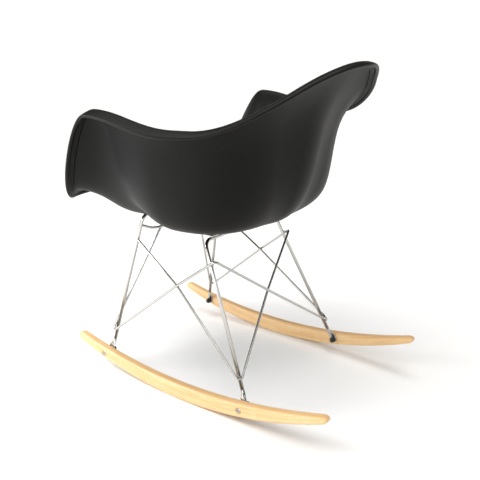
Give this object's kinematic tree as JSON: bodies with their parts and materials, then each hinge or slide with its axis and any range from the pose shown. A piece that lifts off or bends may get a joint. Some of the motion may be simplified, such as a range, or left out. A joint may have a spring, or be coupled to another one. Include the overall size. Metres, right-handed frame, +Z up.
{
  "type": "rocking chair",
  "caption": "Rocking armchair: a moulded plastic shell on a chromed rod and wire base, bolted to bent wooden rockers.",
  "frame": {"origin": "on the floor, at the middle of the chair's outline", "axes": "+Z up, -Y the way the sitter faces, +X to the sitter's left"},
  "size_m": [0.5862, 0.68, 0.6885],
  "materials": {
    "shell": "matte",
    "chrome_rod": "polished",
    "rocker_wood": "satin",
    "steel_hardware": "satin",
    "mount_rubber": "matte",
    "cap_plastic": "gloss"
  },
  "bodies": {
    "root": {"seat_shell": "shell", "shock_mount_front_left": "mount_rubber", "shock_mount_front_right": "mount_rubber", "shock_mount_rear_left": "mount_rubber", "shock_mount_rear_right": "mount_rubber", "mount_plate_front_left": "steel_hardware", "mount_plate_front_right": "steel_hardware", "mount_plate_rear_left": "steel_hardware", "mount_plate_rear_right": "steel_hardware", "mount_screw_front_left": "steel_hardware", "mount_screw_front_right": "steel_hardware", "mount_screw_rear_left": "steel_hardware", "mount_screw_rear_right": "steel_hardware", "front_leg_rod": "chrome_rod", "rear_leg_rod": "chrome_rod", "front_cross_rod": "chrome_rod", "left_brace_wire": "chrome_rod", "right_brace_wire": "chrome_rod", "foot_eye_front_left": "chrome_rod", "foot_eye_front_right": "chrome_rod", "foot_eye_rear_left": "chrome_rod", "foot_eye_rear_right": "chrome_rod", "left_rocker": "rocker_wood", "right_rocker": "rocker_wood", "rocker_bolt_front_left": "steel_hardware", "rocker_bolt_front_right": "steel_hardware", "rocker_bolt_rear_left": "steel_hardware", "rocker_bolt_rear_right": "steel_hardware", "rocker_nut_front_left": "steel_hardware", "rocker_nut_front_right": "steel_hardware", "rocker_nut_rear_left": "steel_hardware", "rocker_nut_rear_right": "steel_hardware", "nut_cap_front_left": "cap_plastic", "nut_cap_front_right": "cap_plastic", "nut_cap_rear_left": "cap_plastic", "nut_cap_rear_right": "cap_plastic"}
  },
  "joints": []
}
